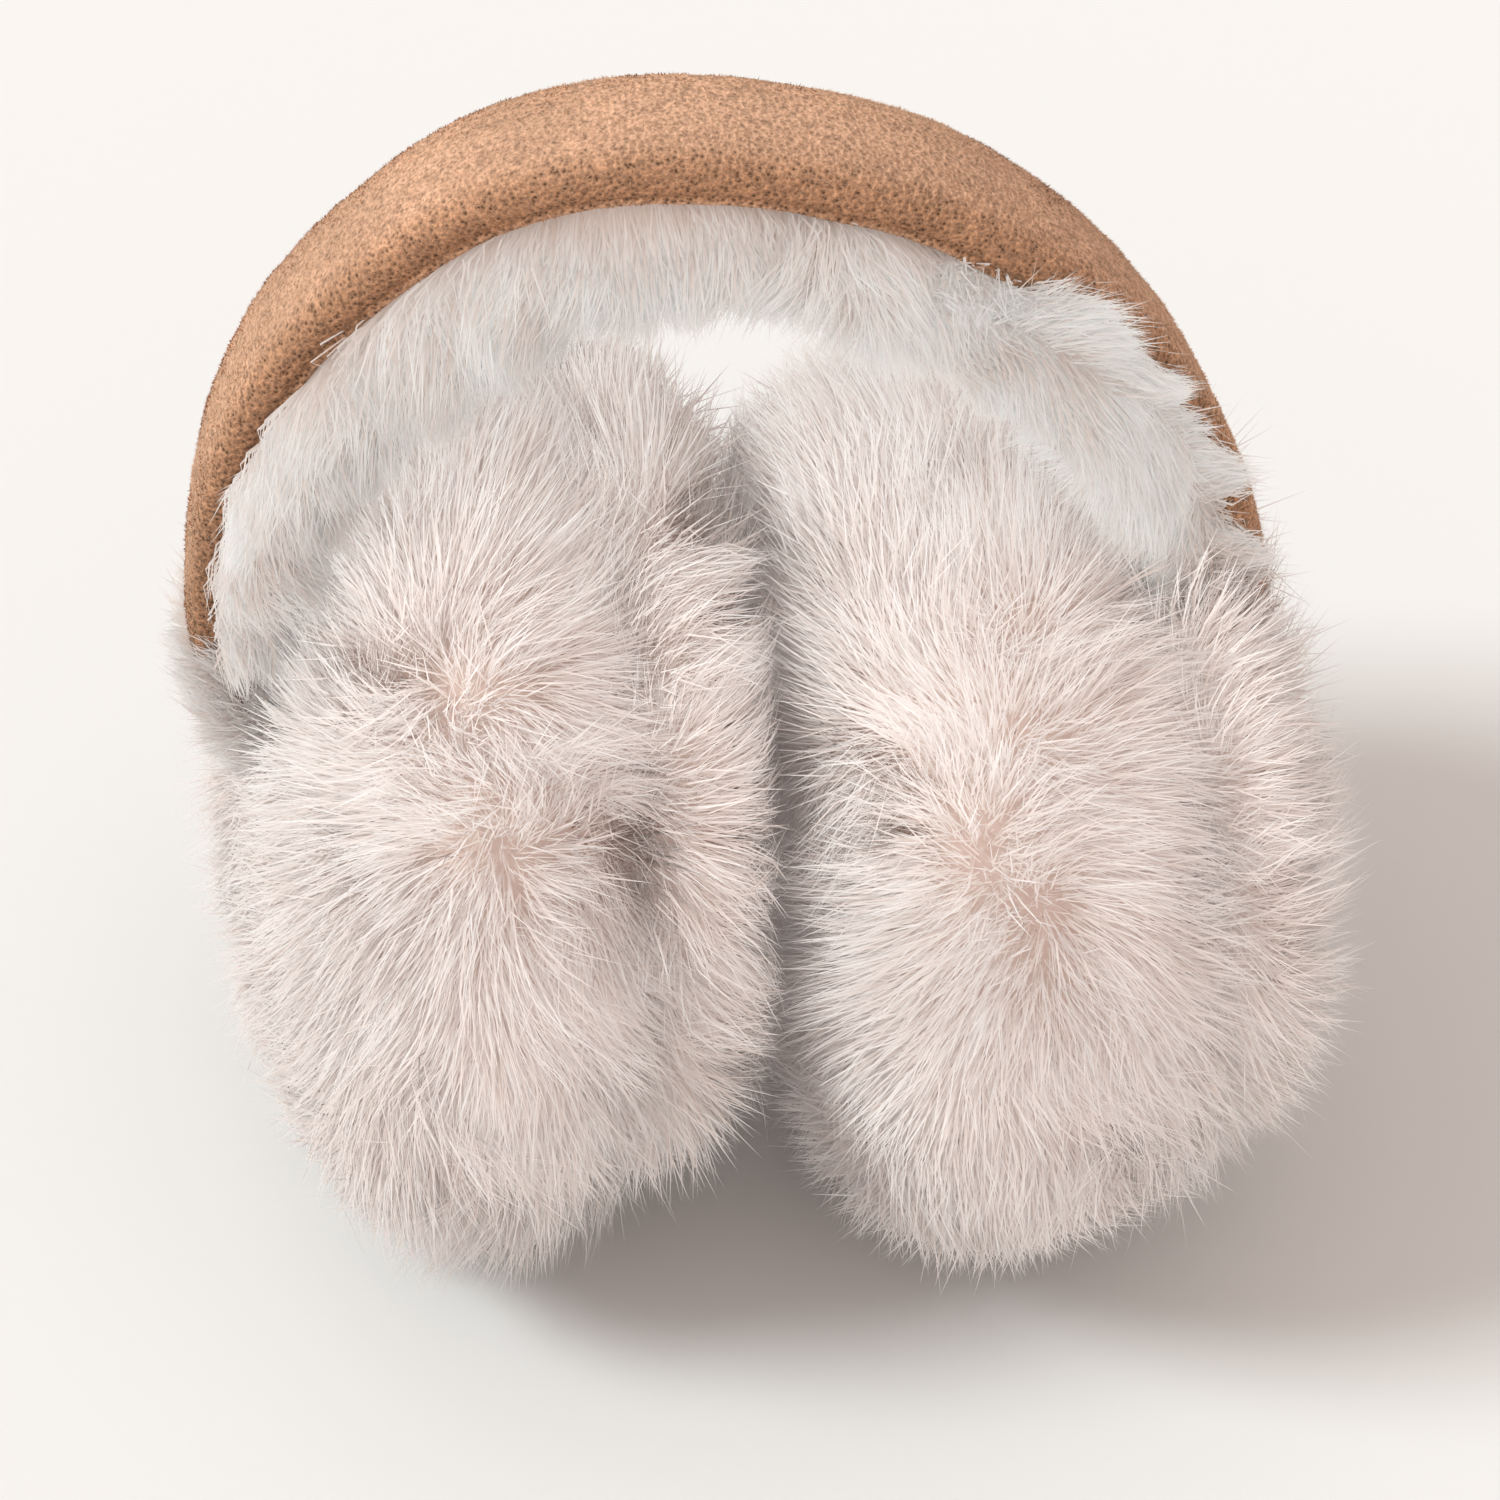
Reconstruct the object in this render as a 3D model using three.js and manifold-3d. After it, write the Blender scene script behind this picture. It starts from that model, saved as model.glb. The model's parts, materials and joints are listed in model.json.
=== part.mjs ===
// Fur earmuffs, standing on their two round ear muffs with the headband arched above them.
// Millimetres, +Z up, -Y towards the viewer, origin on the ground under the middle of the whole.
import * as THREE from 'three';
import { mergeVertices } from 'three/addons/utils/BufferGeometryUtils.js';
import Module from 'manifold-3d';

const wasm = await Module();
wasm.setup();

// Gap left between pieces that touch
const CLEARANCE = 0.3;

// Suede band: a padded flat tube bent to an arch
const ARCH_SPAN = 141.3;
const ARCH_RISE = 113.5;
const BAND_WIDTH = 19.5;
const BAND_THICKNESS = 9.4;
const BAND_SECTIONS = 28;
const BAND_SIDES = 12;

// Fur lining under the band: a backing strip and the locks that hang from it
const LINING_WIDTH = 19;
const LINING_DEPTH = 18;
const LINING_BED = 1.2;
const LINING_SECTIONS = 20;
const LINING_SIDES = 10;
const LINING_LOCK_REACH = 9.5;
const LINING_LOCK_WIDTH = 14;
const LINING_LOCK_SWEEP = 15;
const LINING_LOCK_ROWS = 10;

// Ear muffs: each is a furry round turned outwards against a furry round turned to the ear
const MUFF_DIAMETER = 117;
const MUFF_THICKNESS = 59;
const MUFF_PRESSED = 2.6;
const ARM_END_ABOVE_MUFF_MIDDLE = 15;
const MUFF_SIDES = 22;
const MUFF_LOCKS = 38;
const MUFF_LOCK_REACH = 9;
const MUFF_LOCK_WIDTH = 19;
const MUFF_LOCK_SWEEP = 17;

// Squareness of the two padded cross-sections, where 2 is an ellipse
const BAND_SQUARENESS = 2.7;
const LINING_SQUARENESS = 2.5;

// Thickness of a lock of fur as a share of its width
const LOCK_FLATNESS = 0.5;

// Sections of the arch from the left end over the crown to the right end. across and up are shares of
// half the span and of the rise, wide and thick are shares of the band's own, and twist turns the
// lining towards the viewer, in degrees.
const ARCH = [
  { across: -0.895, up: 0.0, wide: 0.72, thick: 0.55, twist: 0 },
  { across: -0.985, up: 0.19, wide: 0.84, thick: 0.68, twist: 0 },
  { across: -0.957, up: 0.45, wide: 0.93, thick: 0.8, twist: 0 },
  { across: -0.849, up: 0.655, wide: 0.97, thick: 0.88, twist: 0 },
  { across: -0.653, up: 0.828, wide: 1.0, thick: 0.94, twist: 0 },
  { across: -0.406, up: 0.952, wide: 1.0, thick: 1.0, twist: 0 },
  { across: -0.115, up: 1.0, wide: 1.0, thick: 1.0, twist: 0 },
  { across: 0.29, up: 0.956, wide: 1.0, thick: 1.0, twist: 2 },
  { across: 0.52, up: 0.875, wide: 1.0, thick: 0.98, twist: 6 },
  { across: 0.705, up: 0.762, wide: 1.0, thick: 0.94, twist: 12 },
  { across: 0.838, up: 0.63, wide: 0.97, thick: 0.88, twist: 18 },
  { across: 0.932, up: 0.465, wide: 0.93, thick: 0.8, twist: 23 },
  { across: 0.985, up: 0.23, wide: 0.84, thick: 0.68, twist: 25 },
  { across: 0.895, up: 0.0, wide: 0.72, thick: 0.55, twist: 25 },
];

// Where the lining starts and stops along the arch, as shares of the way from end to end, and how its
// depth grows from the arms to the crown
const LINING_FROM = 0.1;
const LINING_TO = 0.9;
const LINING_ARM_SHARE = 0.6;

// Columns of lining locks round the backing strip. round is the angle from straight down towards the
// viewer in degrees, and fall is the share of the lock that hangs under its own weight.
const LINING_LOCK_COLUMNS = [
  { round: 72, fall: 0.8 },
  { round: 18, fall: 0.3 },
  { round: -52, fall: 0.6 },
];

// Half of a muff from the parting between its rounds to the middle of its face. deep is a share of the
// half's thickness, wide a share of the muff's radius.
const ROUND_PROFILE = [
  { deep: 0.0, wide: 0.86 },
  { deep: 0.1, wide: 0.94 },
  { deep: 0.26, wide: 0.99 },
  { deep: 0.46, wide: 1.0 },
  { deep: 0.68, wide: 0.93 },
  { deep: 0.86, wide: 0.76 },
  { deep: 0.96, wide: 0.5 },
  { deep: 1.0, wide: 0.2 },
];

// The two muffs. side is -1 for the left one, inset is how far its middle lies inside the arm as a share
// of the thickness, outer is the outer round's share of the thickness, yaw turns the left face towards
// the viewer and lean tips the top to the right, both in degrees. The round at the back of each is the
// smaller one: its width and lift are shares of the muff's radius.
const MUFFS = [
  { name: 'left_muff', side: -1, inset: 0.63, outer: 0.66, yaw: 13, lean: 8, outerWide: 1, innerWide: 0.9 },
  { name: 'right_muff', side: 1, inset: 0.49, outer: 0.33, yaw: 16, lean: 1, outerWide: 0.88, innerWide: 1 },
];
const BACK_ROUND_LIFT = 0.08;

const SUEDE = { color: 0xc08d63, roughness: 0.95, metalness: 0 };
const FUR = { color: 0xe8ded8, roughness: 1, metalness: 0 };

const GOLDEN_TURN = Math.PI * (3 - Math.sqrt(5));
const FULL_TURN = 2 * Math.PI;
const FAR = 1000;
const DOWN = new THREE.Vector3(0, 0, -1);
// The fur of each muff parts from a whorl on its upper front
const WHORL = new THREE.Vector3(0, -0.68, 0.73);
const muffMiddleHeight = MUFF_DIAMETER / 2 - MUFF_PRESSED;
const archFoot = muffMiddleHeight + ARM_END_ABOVE_MUFF_MIDDLE;

// A repeatable uneven number from -1 to 1 for the k-th lock
function uneven(k, salt) {
  const wave = Math.sin(k * 12.9898 + salt * 78.233) * 43758.5453;
  return 2 * (wave - Math.floor(wave)) - 1;
}

// A closed three.js geometry as a solid that can be joined and cut
function solid(geometry) {
  geometry.deleteAttribute('normal');
  geometry.deleteAttribute('uv');
  const merged = mergeVertices(geometry, 1e-4);
  const corners = merged.index.array;
  const triangles = [];
  for (let i = 0; i < corners.length; i += 3) {
    const [a, b, c] = corners.slice(i, i + 3);
    if (a !== b && b !== c && c !== a) triangles.push(a, b, c);
  }
  const mesh = new wasm.Mesh({
    numProp: 3,
    vertProperties: new Float32Array(merged.attributes.position.array),
    triVerts: new Uint32Array(triangles),
  });
  return new wasm.Manifold(mesh);
}

// A closed skin over a row of rings, drawn in to a point beyond each end
function skin(first, rings, last) {
  const sides = rings[0].length;
  const points = [first, ...rings.flat(), last];
  const end = 1 + (rings.length - 1) * sides;
  const index = [];
  for (let i = 0; i < sides; i++) {
    const next = (i + 1) % sides;
    index.push(0, 1 + next, 1 + i, end + i, end + next, points.length - 1);
    for (let at = 1; at < end; at += sides) {
      index.push(at + i, at + next, at + sides + next, at + i, at + sides + next, at + sides + i);
    }
  }
  const geometry = new THREE.BufferGeometry().setFromPoints(points);
  geometry.setIndex(index);
  return solid(geometry);
}

// Everything on the far side of a plane, as a block to cut with
function beyond(point, normal) {
  const block = new THREE.BoxGeometry(FAR, FAR, FAR);
  block.translate(0, 0, FAR / 2);
  const turn = new THREE.Quaternion().setFromUnitVectors(new THREE.Vector3(0, 0, 1), normal);
  block.applyQuaternion(turn);
  block.translate(point.x, point.y, point.z);
  return solid(block);
}

// A cross-section round a middle, between an ellipse and a rectangle
function paddedRing(middle, sideways, outwards, halfWide, halfThick, squareness, sides) {
  const bulge = (value) => Math.sign(value) * Math.abs(value) ** (2 / squareness);
  return Array.from({ length: sides }, (_, i) => {
    const angle = ((i + 0.5) / sides) * FULL_TURN;
    return middle
      .clone()
      .addScaledVector(sideways, halfWide * bulge(Math.cos(angle)))
      .addScaledVector(outwards, halfThick * bulge(Math.sin(angle)));
  });
}

const archLine = new THREE.CatmullRomCurve3(
  ARCH.map((row) => new THREE.Vector3((row.across * ARCH_SPAN) / 2, 0, archFoot + row.up * ARCH_RISE)),
  false,
  'centripetal',
);

// The arch at a share of its way: middle, directions and sizes of the band there
function archAt(share) {
  const place = share * (ARCH.length - 1);
  const row = Math.min(Math.floor(place), ARCH.length - 2);
  const part = place - row;
  const column = (name) => THREE.MathUtils.lerp(ARCH[row][name], ARCH[row + 1][name], part);
  const middle = archLine.getPoint(share);
  const along = archLine.getTangent(share);
  const twist = THREE.MathUtils.degToRad(column('twist'));
  const sideways = new THREE.Vector3(0, 1, 0).applyAxisAngle(along, -twist);
  const outwards = new THREE.Vector3().crossVectors(sideways, along).negate();
  return {
    middle,
    along,
    sideways,
    outwards,
    halfWide: (column('wide') * BAND_WIDTH) / 2,
    halfThick: (column('thick') * BAND_THICKNESS) / 2,
  };
}

function bandSolid(grow) {
  const rings = [];
  for (let i = 0; i < BAND_SECTIONS; i++) {
    const at = archAt(i / (BAND_SECTIONS - 1));
    const ring = [at.sideways, at.outwards, at.halfWide + grow, at.halfThick + grow];
    rings.push(paddedRing(at.middle, ...ring, BAND_SQUARENESS, BAND_SIDES));
  }
  const [start, end] = [archAt(0), archAt(1)];
  const tip = start.halfThick / 2 + grow;
  const first = start.middle.clone().addScaledVector(start.along, -tip);
  const last = end.middle.clone().addScaledVector(end.along, tip);
  return skin(first, rings, last);
}

// Depth of the lining's backing strip, least at its ends and greatest at the crown
function liningDepth(share) {
  const crown = Math.sin((Math.PI * (share - LINING_FROM)) / (LINING_TO - LINING_FROM));
  return LINING_DEPTH * THREE.MathUtils.lerp(LINING_ARM_SHARE, 1, Math.max(crown, 0));
}

// The backing strip at a share of the arch's way, bedded a little into the band's inner face
function liningAt(share) {
  const at = archAt(share);
  const halfDeep = liningDepth(share) / 2;
  const drop = at.halfThick - LINING_BED + halfDeep;
  const middle = at.middle.clone().addScaledVector(at.outwards, -drop);
  const halfWide = (LINING_WIDTH / 2) * (at.halfWide / (BAND_WIDTH / 2));
  return { ...at, middle, halfWide, halfDeep };
}

// One lock of fur: four-sided, rooted under the surface, fullest at its belly and swept along the lay of
// the fur to a point
function lock(root, out, lay, width, rise, sweep, grow) {
  const across = new THREE.Vector3().crossVectors(out, lay).normalize();
  const sweptOut = out.clone().multiplyScalar(sweep).addScaledVector(lay, -rise).normalize();
  const spot = (height, along) =>
    root.clone().addScaledVector(out, height * rise).addScaledVector(lay, along * sweep);
  const ring = (height, along, share) => {
    const half = (width / 2) * share + grow;
    return [
      spot(height, along).addScaledVector(across, half),
      spot(height, along).addScaledVector(sweptOut, half * LOCK_FLATNESS),
      spot(height, along).addScaledVector(across, -half),
      spot(height, along).addScaledVector(sweptOut, -half * LOCK_FLATNESS),
    ];
  };
  const rings = [ring(-0.5, -0.3, 0.75), ring(0.3, 0.25, 1)];
  const tip = spot(1, 1).addScaledVector(out, grow).addScaledVector(lay, grow);
  return skin(spot(-0.7, -0.4), rings, tip);
}

function liningSolid(grow) {
  const span = LINING_TO - LINING_FROM;
  const rings = [];
  for (let i = 0; i < LINING_SECTIONS; i++) {
    const at = liningAt(LINING_FROM + (span * i) / (LINING_SECTIONS - 1));
    const ring = [at.sideways, at.outwards, at.halfWide + grow, at.halfDeep + grow];
    rings.push(paddedRing(at.middle, ...ring, LINING_SQUARENESS, LINING_SIDES));
  }
  const [start, end] = [liningAt(LINING_FROM), liningAt(LINING_TO)];
  const tip = start.halfDeep / 2 + grow;
  const first = start.middle.clone().addScaledVector(start.along, -tip);
  const last = end.middle.clone().addScaledVector(end.along, tip);
  let lining = skin(first, rings, last);
  LINING_LOCK_COLUMNS.forEach((column, c) => {
    for (let k = 0; k < LINING_LOCK_ROWS; k++) {
      const step = (k + 0.5 + 0.5 * (c % 2) + 0.15 * uneven(k, c)) / (LINING_LOCK_ROWS + 0.5);
      const at = liningAt(LINING_FROM + span * THREE.MathUtils.clamp(step, 0.04, 0.96));
      const round = THREE.MathUtils.degToRad(column.round);
      const inwards = at.outwards.clone().negate();
      const out = inwards.clone().multiplyScalar(Math.cos(round)).addScaledVector(at.sideways, -Math.sin(round));
      const root = at.middle
        .clone()
        .addScaledVector(inwards, at.halfDeep * Math.cos(round) * 0.9)
        .addScaledVector(at.sideways, -at.halfWide * Math.sin(round) * 0.9);
      const crownShare = liningDepth(LINING_FROM + span * step) / LINING_DEPTH;
      const rise = LINING_LOCK_REACH * crownShare * (1 - 0.5 * Math.abs(Math.sin(round)));
      const lay = inwards
        .lerp(DOWN, column.fall)
        .addScaledVector(at.along, 0.3 * uneven(k, c + 3))
        .projectOnPlane(out)
        .normalize();
      const sweep = LINING_LOCK_SWEEP * crownShare;
      lining = lining.add(lock(root, out.normalize(), lay, LINING_LOCK_WIDTH, rise, sweep, grow));
    }
  });
  return lining;
}

// Where a muff's middle, its axis from left to right and the parting between its rounds lie
function muffPlace(muff) {
  const middle = new THREE.Vector3(
    muff.side * (ARCH_SPAN / 2 - muff.inset * MUFF_THICKNESS),
    0,
    muffMiddleHeight,
  );
  const axis = new THREE.Vector3(1, 0, 0)
    .applyAxisAngle(new THREE.Vector3(0, 1, 0), THREE.MathUtils.degToRad(muff.lean))
    .applyAxisAngle(new THREE.Vector3(0, 0, 1), THREE.MathUtils.degToRad(muff.yaw));
  const shift = muff.side * (0.5 - muff.outer) * MUFF_THICKNESS;
  return { middle, axis, parting: middle.clone().addScaledVector(axis, shift) };
}

// One furry round of a muff: a turned dome with locks set over it in a golden spiral
function roundSolid(muff, outerRound, grow) {
  const place = muffPlace(muff);
  const away = place.axis.clone().multiplyScalar(outerRound ? muff.side : -muff.side);
  const deep = MUFF_THICKNESS * (outerRound ? muff.outer : 1 - muff.outer);
  const wide = outerRound ? muff.outerWide : muff.innerWide;
  const radius = (wide * MUFF_DIAMETER) / 2;
  place.parting.z += wide < 1 ? (BACK_ROUND_LIFT * MUFF_DIAMETER) / 2 : 0;
  const outline = ROUND_PROFILE.map((row) => new THREE.Vector2(row.wide * radius, row.deep * deep));
  const turned = [new THREE.Vector2(0, 0), ...outline, new THREE.Vector2(0, deep)];
  const dome = new THREE.LatheGeometry(turned, MUFF_SIDES);
  const turn = new THREE.Quaternion().setFromUnitVectors(new THREE.Vector3(0, 1, 0), away);
  dome.applyQuaternion(turn);
  dome.translate(place.parting.x, place.parting.y, place.parting.z);
  let furry = solid(dome);

  // Locks are spread evenly by area from the parting to the face
  const curve = new THREE.SplineCurve(outline);
  const samples = curve.getPoints(60);
  const area = [0];
  for (let i = 1; i < samples.length; i++) {
    const length = samples[i].distanceTo(samples[i - 1]);
    area.push(area[i - 1] + length * (samples[i].x + samples[i - 1].x));
  }
  const locks = Math.round(MUFF_LOCKS * wide ** 2);
  for (let k = 0; k < locks; k++) {
    const wanted = ((k + 0.5) / locks) * area[area.length - 1];
    const i = Math.max(1, area.findIndex((value) => value >= wanted));
    const slope = samples[i].clone().sub(samples[i - 1]).normalize();
    const angle = k * GOLDEN_TURN;
    const radial = new THREE.Vector3(Math.cos(angle), 0, Math.sin(angle)).applyQuaternion(turn);
    const root = place.parting
      .clone()
      .addScaledVector(radial, samples[i].x * 0.985)
      .addScaledVector(away, samples[i].y);
    const out = radial.clone().multiplyScalar(slope.y).addScaledVector(away, -slope.x).normalize();
    const lay = WHORL.clone()
      .multiplyScalar(-0.7)
      .addScaledVector(DOWN, 0.3)
      .addScaledVector(away, 0.3 * uneven(k, 1))
      .addScaledVector(new THREE.Vector3().crossVectors(radial, away), 0.3 * uneven(k, 2))
      .projectOnPlane(out)
      .normalize();
    const rise = MUFF_LOCK_REACH * (1 + 0.12 * uneven(k, 4));
    const width = MUFF_LOCK_WIDTH * (1 + 0.15 * uneven(k, 5));
    furry = furry.add(lock(root, out, lay, width, rise, MUFF_LOCK_SWEEP, grow));
  }
  return furry;
}

// The biggest body of a cut solid, without crumbs of locks that the cut parted from it
function biggest(cut) {
  return cut.decompose().reduce((most, body) => (body.volume() > most.volume() ? body : most));
}

function mesh(name, body, finish) {
  const { vertProperties, triVerts } = body.getMesh();
  const geometry = new THREE.BufferGeometry();
  geometry.setAttribute('position', new THREE.BufferAttribute(new Float32Array(vertProperties), 3));
  geometry.setIndex(Array.from(triVerts));
  geometry.computeVertexNormals();
  const made = new THREE.Mesh(geometry, new THREE.MeshStandardMaterial(finish));
  made.name = name;
  return made;
}

const band = bandSolid(0);
const bandRoom = bandSolid(CLEARANCE);
const lining = biggest(liningSolid(0).subtract(bandRoom));
const liningRoom = liningSolid(CLEARANCE);
const ground = beyond(new THREE.Vector3(0, 0, 0), DOWN);
const meetingX = MUFFS.reduce((sum, muff) => sum + muffPlace(muff).middle.x, 0) / MUFFS.length;

const earmuffs = new THREE.Group();
earmuffs.add(mesh('suede_band', band, SUEDE));
earmuffs.add(mesh('band_lining', lining, FUR));
for (const muff of MUFFS) {
  const { axis, parting } = muffPlace(muff);
  const meeting = new THREE.Vector3(meetingX + (muff.side * CLEARANCE) / 2, 0, 0);
  const otherMuff = beyond(meeting, new THREE.Vector3(-muff.side, 0, 0));
  for (const outerRound of [true, false]) {
    const away = axis.clone().multiplyScalar(outerRound ? muff.side : -muff.side);
    const otherRound = beyond(parting.clone().addScaledVector(away, CLEARANCE / 2), away.clone().negate());
    const cut = [otherRound, otherMuff, ground, bandRoom, liningRoom].reduce(
      (body, tool) => body.subtract(tool),
      roundSolid(muff, outerRound, 0),
    );
    earmuffs.add(mesh(`${muff.name}_${outerRound ? 'outer' : 'inner'}`, biggest(cut), FUR));
  }
}

// The origin goes under the middle of the whole
const whole = new THREE.Box3().setFromObject(earmuffs);
const middle = whole.getCenter(new THREE.Vector3());
earmuffs.position.set(-middle.x, -middle.y, -whole.min.z);

export default earmuffs;
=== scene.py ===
"""Fur earmuffs: a suede headband lined with plush fur, arched over two deep plush ear muffs that stand on a
pale floor. Metres, +Z up, -Y towards the front."""

import json
import math

import bpy
import numpy as np
from bpy.props import FloatProperty, FloatVectorProperty, IntProperty, PointerProperty
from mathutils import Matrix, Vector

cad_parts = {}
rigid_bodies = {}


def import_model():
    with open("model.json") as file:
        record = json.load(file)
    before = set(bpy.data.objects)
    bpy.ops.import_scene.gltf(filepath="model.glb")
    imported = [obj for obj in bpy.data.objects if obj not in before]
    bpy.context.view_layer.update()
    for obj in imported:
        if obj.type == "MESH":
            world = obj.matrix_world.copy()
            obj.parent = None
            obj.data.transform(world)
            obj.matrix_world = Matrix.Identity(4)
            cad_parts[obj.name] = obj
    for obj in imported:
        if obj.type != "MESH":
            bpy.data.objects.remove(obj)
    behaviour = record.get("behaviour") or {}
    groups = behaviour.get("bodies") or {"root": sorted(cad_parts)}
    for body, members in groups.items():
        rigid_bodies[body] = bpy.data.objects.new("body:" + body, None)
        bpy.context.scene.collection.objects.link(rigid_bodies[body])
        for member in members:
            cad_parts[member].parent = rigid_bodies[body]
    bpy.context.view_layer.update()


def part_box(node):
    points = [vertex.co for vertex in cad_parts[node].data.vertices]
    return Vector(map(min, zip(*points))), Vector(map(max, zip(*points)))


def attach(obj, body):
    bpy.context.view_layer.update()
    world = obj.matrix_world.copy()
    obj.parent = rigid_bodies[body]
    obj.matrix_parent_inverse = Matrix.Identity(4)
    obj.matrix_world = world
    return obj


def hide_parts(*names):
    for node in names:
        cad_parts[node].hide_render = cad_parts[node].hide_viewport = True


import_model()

bl_info = {
    "name": "Fur Earmuffs",
    "version": (1, 0, 0),
    "blender": (4, 5, 0),
    "location": "3D View > Sidebar > Earmuffs",
    "description": "Suede headband, fur lining and two plush ear muffs, with their floor, light and camera",
    "category": "Object",
}

# Headband: the arch's own sizes and the sections from its left end over the crown to its right end.
# across and up are shares of half the span and of the rise, wide and thick shares of the band's own,
# twist turns the lining towards the front, in degrees.
ARCH_SPAN = 0.1413
ARCH_RISE = 0.1135
ARCH_FOOT = 0.0709
ARCH_COLUMNS = ("across", "up", "wide", "thick", "twist")
ARCH = (
    (-0.895, 0.000, 0.72, 0.55, 0),
    (-0.985, 0.190, 0.84, 0.68, 0),
    (-0.957, 0.450, 0.93, 0.80, 0),
    (-0.849, 0.655, 0.97, 0.88, 0),
    (-0.653, 0.828, 1.00, 0.94, 0),
    (-0.406, 0.952, 1.00, 1.00, 0),
    (-0.115, 1.000, 1.00, 1.00, 0),
    (0.290, 0.956, 1.00, 1.00, 2),
    (0.520, 0.875, 1.00, 0.98, 6),
    (0.705, 0.762, 1.00, 0.94, 12),
    (0.838, 0.630, 0.97, 0.88, 18),
    (0.932, 0.465, 0.93, 0.80, 23),
    (0.985, 0.230, 0.84, 0.68, 25),
    (0.895, 0.000, 0.72, 0.55, 25),
)
BAND_SQUARENESS = 2.7

# The rolled hem along the band's front edge: share of the way round the section, height and spread
HEM_RIDGES = ((0.585, 0.0007, 0.014), (0.553, -0.0004, 0.012))

# How much the pits show round the suede's section, and the light and shade painted round it: a lighter top,
# a darker front, a painted highlight on the rolled hem with painted shadow lines just above and below it,
# and a darker side towards the lining. Share of the way round, from the back over the top, and strength or
# tone
PIT_SHARES = ((0.0, 0.35), (0.32, 0.4), (0.4, 1.0), (1.0, 1.0))
# Painted light and shade round the band's section: lighter on top, darker on the front, a painted highlight
# on the hem and painted shadow lines beside it
SUEDE_PAINTED_LIGHT = (
    (0.0, 1.0),
    (0.25, 1.08),
    (0.34, 1.05),
    (0.385, 0.88),
    (0.44, 0.77),
    (0.54, 0.72),
    (0.56, 0.66),
    (0.585, 1.0),
    (0.62, 0.62),
    (0.9, 0.7),
    (1.0, 1.0),
)

# How much faster the suede's green and blue fall than its red where its painted shade makes it darker
SUEDE_SHADE_HUE = np.array([1.0, 1.4, 1.8])
# How light the suede is along the arch: the left arm is darker than the crown
ARM_TONES = ((0.08, 0.77), (0.36, 1.0))

# Fur lining: where it starts and stops along the arch, and how its depth grows from arm to crown
LINING_FROM = 0.09
LINING_TO = 0.91
LINING_DEPTH = 0.011
LINING_BED = 0.0012
LINING_ARM_SHARE = 0.6
LINING_SQUARENESS = 2.4

# How long the lining's hairs are along the arch: share of the arch, share of the hair's full length
LINING_LENGTHS = (
    (0.09, 0.5),
    (0.2, 0.75),
    (0.32, 1.0),
    (0.42, 0.9),
    (0.485, 0.66),
    (0.56, 0.75),
    (0.66, 0.95),
    (0.8, 0.75),
    (0.91, 0.6),
)

# Where tufts of the lining stand over the band's front edge, and where the muffs' fur closes round the
# band's two ends, as shares of the arch
RIM_TUFTS = (0.59, 0.88)
CUFFS = ((0.0, 0.085), (0.945, 1.0))

# Ear muffs: each is a round turned outwards against a round turned to the ear. side is -1 on the left,
# inset is how far the middle lies inside the arm as a share of the thickness, outer is the outer
# round's share of the thickness, yaw and lean are in degrees.
MUFF_RADIUS = 0.0585
MUFF_THICKNESS = 0.059
MUFF_MIDDLE_HEIGHT = 0.0559
MUFF_COLUMNS = (
    "side", "inset", "outer", "yaw", "lean", "outer_wide", "inner_wide", "outer_lift", "inner_lift"
)
MUFFS = {
    "left_muff": (-1, 0.63, 0.66, 13, 8, 1.0, 0.9, 0.05, 0.14),
    "right_muff": (1, 0.49, 0.33, 16, 1, 0.86, 1.0, 0.12, 0.06),
}

# Half of a muff from the parting to the middle of its face: share of the depth, share of the radius
ROUND_PROFILE = (
    (0.00, 0.86),
    (0.10, 0.94),
    (0.26, 0.99),
    (0.46, 1.00),
    (0.68, 0.93),
    (0.86, 0.76),
    (0.96, 0.50),
    (1.00, 0.20),
    (1.00, 0.00),
)
INNER_PROFILE = ROUND_PROFILE[:4] + (
    (0.68, 0.97),
    (0.86, 0.88),
    (0.96, 0.68),
    (1.00, 0.30),
    (1.00, 0.00),
)

# How deep the rounds that face each other are made, as shares of their own depth, so that their fur
# meets without a wall
FACE_SHARES = {"left_muff": 0.94, "right_muff": 1.1}
# How far the fur of the left and the right muff may reach past the plane where the muffs meet
CROSSING = {"left_muff": (0.002, 0.008), "right_muff": (0.003, 0.012)}

# The rounds in order, each with its number of long hairs as a share of the full number
ROUND_HAIRS = (
    ("left_muff", True, 1),
    ("left_muff", False, 0.62),
    ("right_muff", True, 0.6),
    ("right_muff", False, 1),
)
# The lining's number of hairs, and the parts of it that grow again as tufts and at the band's two ends
LINING_HAIRS = 43000
RIM_PART = 9
CUFF_PARTS = (10, 8)

# How far the muffs' skin lies under their outline, and the sizes of the cells in which hairs gather
SKIN_DEPTH = 0.0025
TUFT, WISP = 0.0065, 0.0022
FINE_TUFT, FINE_WISP = 0.0045, 0.0016
FIBRE_TUFT = 0.0009

# Camera: the photograph's angle and distance, looking at a point just above the muffs' middle
CAMERA_ELEVATION = 47
CAMERA_DISTANCE = 1.1
CAMERA_TARGET = (0.00016, 0.00057, 0.068)
CAMERA_LENS = 188.5

# Where the fur of each muff parts: the two ends of a short line on its front, from the muff's middle
PARTINGS = {
    "left_muff": ((-0.0012, -0.0395, 0.0352), (-0.0035, -0.045, 0.0305)),
    "right_muff": ((-0.0068, -0.032, 0.0415), (-0.0045, -0.045, 0.0305)),
}

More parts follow.
